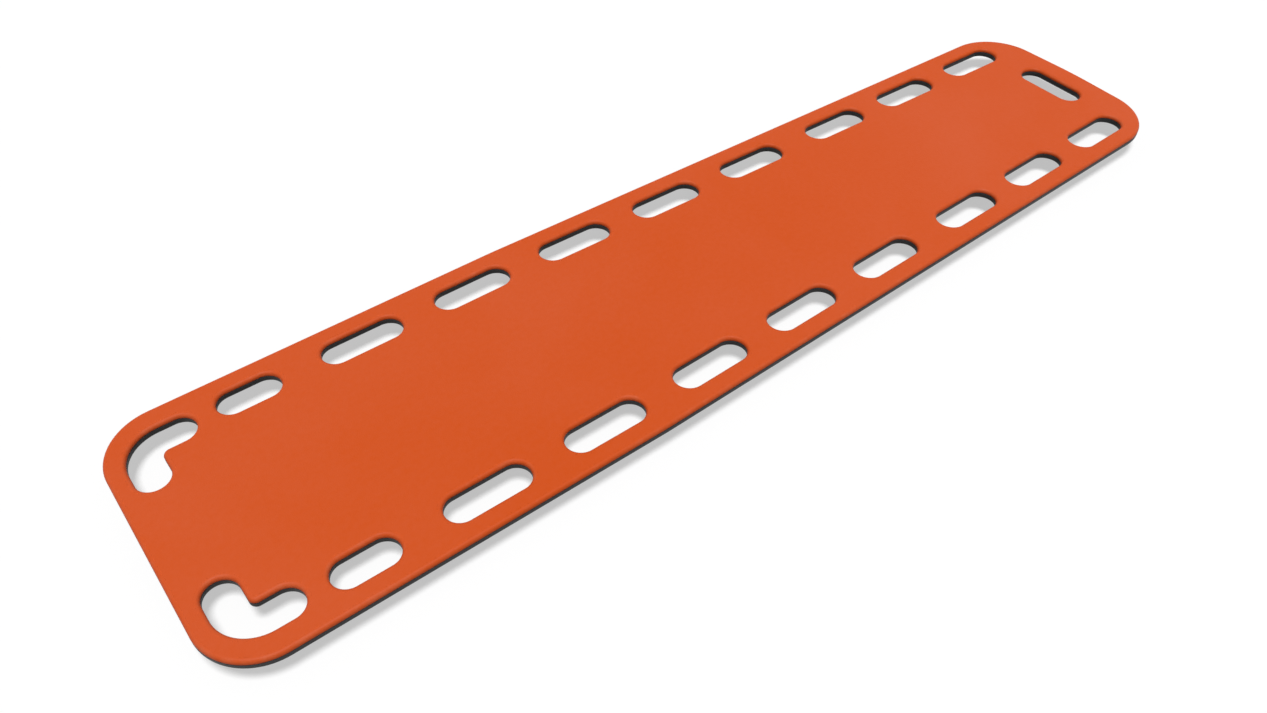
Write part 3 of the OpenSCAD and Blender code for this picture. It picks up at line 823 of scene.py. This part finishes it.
def rod_material():
    """Drawn fibre rod: dark, with fine lines along its length."""
    material, shader, where = new_material("fibre_rod")
    fibres = streaks(where, along=8.0, across=1400.0, detail=4.0)
    base = tuple(bpy.context.scene.spine_finish.rod_colour)
    feed(shader, {"Base Color": toned(base, 0.6 + fibres * 0.9), "Roughness": 0.25 + fibres * 0.3,
                  "Normal": bumped(fibres, depth=0.0001)})
    return material


# Operators

class SPINE_OT_groups(bpy.types.Operator):
    """Build the node groups that the pieces and the materials share"""
    bl_idname = "spine.groups"
    bl_label = "Build Shared Groups"

    def execute(self, context):
        for build in (level_face_tree, rolled_edge_tree, underbody_tree, grain_group, drift_group, scuff_group,
                      slide_group):
            build()
        return {"FINISHED"}


def edge_values(plan, face):
    """Values of the inputs that both sheets share."""
    o = plan.o
    return {"Edge Paths": path_object("edge_paths", plan.edges()), "Face Height": face, "Seam Height": plan.seam_z,
            "Roll Radius": o.roll_radius, "Seam Groove": o.seam_groove, "Sheet": o.sheet, "Wall": o.wall,
            "Roll Points": o.roll_points}


class SPINE_OT_deck(bpy.types.Operator):
    """Mould the upper sheet: flat deck with a rolled edge round the rim and round every hold"""
    bl_idname = "spine.deck"
    bl_label = "Mould Upper Sheet"

    def execute(self, context):
        plan, finish = BoardPlan(), context.scene.spine_finish
        values = edge_values(plan, plan.o.deck_height)
        values["Material"] = moulded_plastic("deck_plastic", finish.deck_colour, finish.deck_scuff)
        made_by("upper_sheet", upper_sheet_tree(), values, "deck_plastic", "deck_skin")
        return {"FINISHED"}


class SPINE_OT_base(bpy.types.Operator):
    """Mould the lower sheet: underside of the rim, hull, runners and plug holes"""
    bl_idname = "spine.base"
    bl_label = "Mould Lower Sheet"

    def execute(self, context):
        plan, finish = BoardPlan(), context.scene.spine_finish
        u = plan.u
        hull = path_object("hull_path", [rounded(plan.hull())])
        holes = []
        for places, radius in ((plan.fill_places(), u.fill_radius), (plan.vent_places(), u.vent_radius)):
            r = radius + u.plug_clear
            turns = [-math.tau * k / HOLE_POINTS for k in range(HOLE_POINTS)]
            ring = [Vector((r * math.cos(t), r * math.sin(t))) for t in turns]
            holes += [moved(ring, place, 0.0) for place in places]
        plugs = path_object("plug_paths", holes)
        values = edge_values(plan, plan.rim_z)
        values.update({"Hull Path": hull, "Plug Paths": plugs, "Hull Height": plan.hull_z, "Slope": u.draft,
                       "Edge Roll": u.edge_roll, "Runner Start": plan.hull_start + u.runner_end,
                       "Runner End": plan.hull_end - u.runner_end, "Runner Place": u.runner_place,
                       "Runner Half Width": u.runner_width / 2, "Runner Rise": u.runner_rise,
                       "Rise Blend": RISE_BLEND, "Runner Steps": RUNNER_STEPS,
                       # The lower sheet's dark grey is painted shade on the walls below the seam.
                       "Material": moulded_plastic("base_plastic", finish.base_painted_shade_colour, finish.base_scuff, True)})
        made_by("lower_sheet", lower_sheet_tree(), values, "base_plastic", "base_skin")
        return {"FINISHED"}


class SPINE_OT_plugs(bpy.types.Operator):
    """Push the fill plugs and the vent plugs into the hull"""
    bl_idname = "spine.plugs"
    bl_label = "Fit Plugs"

    def execute(self, context):
        plan, finish = BoardPlan(), context.scene.spine_finish
        u = plan.u
        tree = plug_tree()
        material = moulded_plastic("plug_plastic", finish.plug_colour, finish.base_scuff)
        kinds = (("fill_plugs", plan.fill_places(), u.fill_radius, FILL_DISH, ("fill_plug_head", "fill_plug_foot")),
                 ("vent_plugs", plan.vent_places(), u.vent_radius, VENT_DISH,
                  ("vent_plug_head_left", "vent_plug_head_right", "vent_plug_foot_left", "vent_plug_foot_right")))
        for name, places, radius, dish, nodes in kinds:
            spots = place_object(name + "_places", places, plan.hull_z)
            values = {"Places": spots, "Stem Radius": radius, "Flange": u.flange, "Flange Depth": u.flange_depth,
                      "Edge Round": u.flange_depth * FLANGE_ROUND, "Stem Length": plan.o.sheet + u.stem_reach,
                      "Dish": dish, "Turn Steps": PLUG_POINTS, "Round Points": ROUND_POINTS,
                      "Material": material}
            made_by(name, tree, values, "plug", *nodes)
        return {"FINISHED"}


class SPINE_OT_core(bpy.types.Operator):
    """Finish the foam and the stiffening rods inside"""
    bl_idname = "spine.core"
    bl_label = "Finish Foam and Rods"

    def execute(self, context):
        foam, rod = foam_material(), rod_material()
        for name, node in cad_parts.items():
            if name == "foam_core" or name.startswith("rod_"):
                node.data.materials.clear()
                node.data.materials.append(foam if name == "foam_core" else rod)
        return {"FINISHED"}


def seen_ray(tree):
    """One where a ray shows the surface to the camera, straight, mirrored or through glass."""
    rays = tree.nodes.new("ShaderNodeLightPath").outputs
    straight, reflected, through = [Value(rays[f"Is {kind} Ray"]) for kind in ("Camera", "Glossy", "Transmission")]
    return calc("MAXIMUM", straight, calc("MAXIMUM", reflected, through))


def direction(heading, height):
    """The direction to a heading in plan and an angle above the floor."""
    flat = math.cos(height)
    return Vector((flat * math.cos(heading), flat * math.sin(heading), math.sin(height)))


def lay_floor(studio):
    """A pale floor that keeps the board's shadow. Its glow is for the camera, and lights nothing."""
    s, z = studio.floor_size, -studio.floor_drop
    mesh = bpy.data.meshes.new("studio_floor")
    mesh.from_pydata([(-s, -s, z), (s, -s, z), (s, s, z), (-s, s, z)], [], [(0, 1, 2, 3)])
    material, shader, where = new_material("floor_paint")
    seen, glow = seen_ray(where.tree), studio.floor_glow
    feed(shader, {
        "Base Color": mixed(seen, grey(studio.floor_bounce), grey(1 - glow)),
        "Emission Color": mixed(seen, grey(0.0), grey(glow)), "Emission Strength": 1.0,
        "Roughness": 0.85 + noise(where, scale=3.0, detail=3.0) * 0.1,
        "Specular IOR Level": 0.0})
    mesh.materials.append(material)
    linked("studio_floor", mesh)


def light_world(studio):
    """Even light all round, which looks plain white."""
    world = bpy.data.worlds.new("studio_world")
    bpy.context.scene.world = world
    world.use_nodes = True
    tree = world.node_tree
    tree.nodes.clear()
    even, white = [add(tree, "ShaderNodeBackground", {"Color": grey(1.0), "Strength": strength})
                   for strength in (studio.ambient, 1.0)]
    mix = add(tree, "ShaderNodeMixShader", {0: seen_ray(tree), 1: even, 2: white})
    add(tree, "ShaderNodeOutputWorld", {"Surface": mix})


def hang_key(studio):
    """The wide key lamp overhead."""
    lamp = bpy.data.lights.new("key_lamp", "SUN")
    lamp.energy, lamp.angle = studio.key_power, studio.key_softness
    key = linked("key_lamp", lamp)
    source = direction(studio.key_heading, studio.key_height)
    key.rotation_euler = source.to_track_quat("Z", "Y").to_euler()
    key.location = source * LAMP_DISTANCE


def set_camera(studio):
    """The camera that sees the board as in the photograph."""
    camera = bpy.data.cameras.new("photo_camera")
    camera.lens, camera.sensor_width = studio.lens, SENSOR_WIDTH
    view = linked("photo_camera", camera)
    h, roll = studio.camera_heading, studio.camera_roll
    ahead = direction(h, -studio.camera_dip)
    level = Vector((math.sin(h), -math.cos(h), 0.0))
    right = level * math.cos(roll) + level.cross(ahead) * math.sin(roll)
    turn = Matrix((right, right.cross(ahead), -ahead)).transposed()
    view.matrix_world = Matrix.Translation(Vector(studio.camera_place)) @ turn.to_4x4()
    bpy.context.scene.camera = view


class SPINE_OT_stage(bpy.types.Operator):
    """Set up the floor, the lights and the camera"""
    bl_idname = "spine.stage"
    bl_label = "Set Up Studio"

    def execute(self, context):
        for step in (lay_floor, light_world, hang_key, set_camera):
            step(context.scene.spine_studio)
        context.scene.view_settings.view_transform = "Standard"
        return {"FINISHED"}


class SPINE_PT_board(bpy.types.Panel):
    """Steps that dress the spine board"""
    bl_idname = "SPINE_PT_board"
    bl_label = "Spine Board"
    bl_space_type = "VIEW_3D"
    bl_region_type = "UI"
    bl_category = "Spine Board"

    def draw(self, context):
        for step in STEPS:
            self.layout.operator(step.bl_idname)
        for key in GROUPS:
            box = self.layout.box()
            box.label(text=key.removeprefix("spine_").capitalize())
            group = getattr(context.scene, key)
            for name in group.__annotations__:
                box.prop(group, name)


GROUPS = {"spine_outline": SpineBoardOutline, "spine_holds": SpineBoardHolds,
          "spine_underside": SpineBoardUnderside, "spine_finish": SpineBoardFinish, "spine_studio": SpineBoardStudio}
STEPS = (SPINE_OT_groups, SPINE_OT_deck, SPINE_OT_base, SPINE_OT_plugs, SPINE_OT_core, SPINE_OT_stage)
CLASSES = (*GROUPS.values(), *STEPS, SPINE_PT_board)


def register():
    """Registers the property groups, the operators and the panel."""
    for kind in CLASSES:
        bpy.utils.register_class(kind)
    for name, group in GROUPS.items():
        setattr(bpy.types.Scene, name, PointerProperty(type=group))


def unregister():
    """Removes what register added."""
    for name in GROUPS:
        delattr(bpy.types.Scene, name)
    for kind in reversed(CLASSES):
        bpy.utils.unregister_class(kind)


def main():
    """Dresses the board from start to finish."""
    register()
    for step in STEPS:
        family, name = step.bl_idname.split(".")
        getattr(getattr(bpy.ops, family), name)()


if __name__ == "__main__":
    main()
